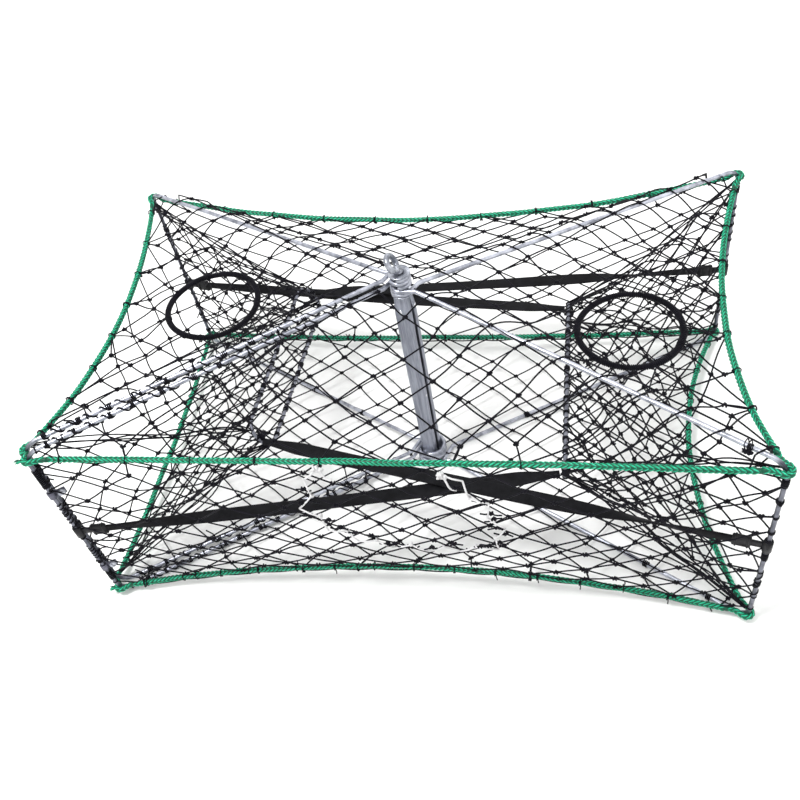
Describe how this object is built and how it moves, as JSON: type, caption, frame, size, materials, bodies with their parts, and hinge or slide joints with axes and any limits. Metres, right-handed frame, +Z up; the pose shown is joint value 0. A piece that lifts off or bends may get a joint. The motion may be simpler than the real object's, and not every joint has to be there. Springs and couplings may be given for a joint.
{
  "type": "folding crab trap",
  "caption": "Folding crab trap: bent rod leaves hinged on one centre post fan out under black netting and green rope edges, with funnel mouths at both ends and rings in the top.",
  "frame": {"origin": "on the axis of the centre post, at the floor", "axes": "+X to the right end, +Y to the back, +Z up along the post"},
  "size_m": [0.931, 0.5584, 0.4151],
  "materials": {
    "galvanised_rod": "bright zinc, satin",
    "post_steel": "rolled zinc-coated steel",
    "zinc_hardware": "zinc plated",
    "green_rope": "braided polyethylene, slight sheen",
    "black_twine": "braided twine",
    "mouth_wire": "zinc wire, dull",
    "ring_plastic": "matte",
    "black_strap": "matte",
    "black_hook": "taped, matte",
    "white_twine": "soft twine"
  },
  "bodies": {
    "front_left_leaf": {"leaf_front_left": "galvanised_rod", "centre_post": "post_steel", "hinge_bolt": "zinc_hardware", "lifting_eye": "zinc_hardware", "washer_1": "zinc_hardware", "washer_2": "zinc_hardware", "washer_3": "zinc_hardware", "base_nut": "zinc_hardware", "corner_clamp_lower": "zinc_hardware", "corner_clamp_upper": "zinc_hardware", "clamp_screw_lower": "zinc_hardware", "clamp_screw_upper": "zinc_hardware", "rope_turn_top_front_left": "green_rope", "rope_turn_bottom_front_left": "green_rope", "rope_top_front": "green_rope", "rope_bottom_front": "green_rope", "net_top_front": "black_twine", "net_bottom_front": "black_twine", "net_front": "black_twine", "access_lacing": "white_twine"},
    "front_right_leaf": {"leaf_front_right": "galvanised_rod", "rope_turn_top_front_right": "green_rope", "rope_turn_bottom_front_right": "green_rope", "rope_top_right": "green_rope", "rope_bottom_right": "green_rope", "net_top_right": "black_twine", "net_bottom_right": "black_twine", "net_funnel_right": "black_twine"},
    "back_right_leaf": {"leaf_back_right": "galvanised_rod", "rope_turn_top_back_right": "green_rope", "rope_turn_bottom_back_right": "green_rope", "rope_top_back": "green_rope", "rope_bottom_back": "green_rope", "net_top_back": "black_twine", "net_bottom_back": "black_twine", "net_back": "black_twine"},
    "back_left_leaf": {"leaf_back_left": "galvanised_rod", "rope_turn_top_back_left": "green_rope", "rope_turn_bottom_back_left": "green_rope", "rope_top_left": "green_rope", "rope_bottom_left": "green_rope", "net_top_left": "black_twine", "net_bottom_left": "black_twine", "net_funnel_left": "black_twine"},
    "closing_leaf": {"leaf_closing": "galvanised_rod", "rope_turn_top_closing": "green_rope", "rope_turn_bottom_closing": "green_rope"},
    "right_mouth": {"mouth_frame_right": "mouth_wire"},
    "left_mouth": {"mouth_frame_left": "mouth_wire"},
    "right_ring": {"ring_right": "ring_plastic"},
    "left_ring": {"ring_left": "ring_plastic"},
    "front_left_strap": {"strap_front_left": "black_strap", "hook_front_left": "black_hook"},
    "front_right_strap": {"strap_front_right": "black_strap", "hook_front_right": "black_hook"},
    "back_right_strap": {"strap_back_right": "black_strap", "hook_back_right": "black_hook"},
    "back_left_strap": {"strap_back_left": "black_strap", "hook_back_left": "black_hook"}
  },
  "joints": [
    {"name": "front_right_leaf_fold", "type": "hinge", "parent": "front_left_leaf", "child": "front_right_leaf", "pos_m": [0, 0, 0], "axis": [0, 0, 1], "range_deg": [-113.7, 0], "deforming": ["rope_top_front", "rope_bottom_front", "net_top_front", "net_bottom_front", "net_front", "access_lacing"]},
    {"name": "back_right_leaf_fold", "type": "hinge", "parent": "front_right_leaf", "child": "back_right_leaf", "pos_m": [0, 0, 0], "axis": [0, 0, 1], "range_deg": [-55.4, 0], "deforming": ["rope_top_right", "rope_bottom_right", "net_top_right", "net_bottom_right", "net_funnel_right"]},
    {"name": "back_left_leaf_fold", "type": "hinge", "parent": "back_right_leaf", "child": "back_left_leaf", "pos_m": [0, 0, 0], "axis": [0, 0, 1], "range_deg": [-114.6, 0], "deforming": ["rope_top_back", "rope_bottom_back", "net_top_back", "net_bottom_back", "net_back"]},
    {"name": "closing_leaf_fold", "type": "hinge", "parent": "back_left_leaf", "child": "closing_leaf", "pos_m": [0, 0, 0], "axis": [0, 0, 1], "range_deg": [-54.5, 0], "deforming": ["rope_top_left", "rope_bottom_left", "net_top_left", "net_bottom_left", "net_funnel_left"]},
    {"name": "right_mouth_turn", "type": "hinge", "parent": "front_right_leaf", "child": "right_mouth", "pos_m": [0.36167, -0.03067, 0.17], "axis": [0, 0, 1], "range_deg": [0, 60.8]},
    {"name": "left_mouth_turn", "type": "hinge", "parent": "back_left_leaf", "child": "left_mouth", "pos_m": [-0.30149, 0.06606, 0.17], "axis": [0, 0, 1], "range_deg": [0, 63.8]},
    {"name": "right_ring_swing", "type": "hinge", "parent": "front_right_leaf", "child": "right_ring", "pos_m": [0.24585, -0.12458, 0.326], "axis": [0.8643, -0.503, 0], "range_deg": [-87, 0]},
    {"name": "left_ring_swing", "type": "hinge", "parent": "back_left_leaf", "child": "left_ring", "pos_m": [-0.22114, 0.10325, 0.326], "axis": [-0.8643, 0.503, 0], "range_deg": [-88, 0]},
    {"name": "front_left_strap_swing", "type": "hinge", "parent": "front_left_leaf", "child": "front_left_strap", "pos_m": [-0.44526, -0.2686, 0.165], "axis": [0, 0, 1], "range_deg": [0, 21.29], "deforming": ["strap_front_left"]},
    {"name": "front_right_strap_swing", "type": "hinge", "parent": "front_right_leaf", "child": "front_right_strap", "pos_m": [0.44942, -0.26157, 0.179], "axis": [0, 0, 1], "range_deg": [-17.36, 0], "deforming": ["strap_front_right"]},
    {"name": "back_right_strap_swing", "type": "hinge", "parent": "back_right_leaf", "child": "back_right_strap", "pos_m": [0.44942, 0.26157, 0.15], "axis": [0, 0, 1], "range_deg": [0, 24.89], "deforming": ["strap_back_right"]},
    {"name": "back_left_strap_swing", "type": "hinge", "parent": "back_left_leaf", "child": "back_left_strap", "pos_m": [-0.44942, 0.26157, 0.141], "axis": [0, 0, 1], "range_deg": [-21.05, 0], "deforming": ["strap_back_left"]}
  ],
  "couplings": [
    {"joint": "back_right_leaf_fold", "follows": "front_right_leaf_fold", "ratio": 0.48725},
    {"joint": "back_left_leaf_fold", "follows": "front_right_leaf_fold", "ratio": 1.0079},
    {"joint": "closing_leaf_fold", "follows": "front_right_leaf_fold", "ratio": 0.47933},
    {"joint": "right_mouth_turn", "follows": "front_right_leaf_fold", "ratio": -0.53474},
    {"joint": "left_mouth_turn", "follows": "front_right_leaf_fold", "ratio": -0.56113},
    {"joint": "right_ring_swing", "follows": "front_right_leaf_fold", "ratio": 0.76517},
    {"joint": "left_ring_swing", "follows": "front_right_leaf_fold", "ratio": 0.77397},
    {"joint": "front_left_strap_swing", "follows": "front_right_leaf_fold", "ratio": -0.18728},
    {"joint": "front_right_strap_swing", "follows": "front_right_leaf_fold", "ratio": 0.15272},
    {"joint": "back_right_strap_swing", "follows": "front_right_leaf_fold", "ratio": -0.21893},
    {"joint": "back_left_strap_swing", "follows": "front_right_leaf_fold", "ratio": 0.18511}
  ]
}
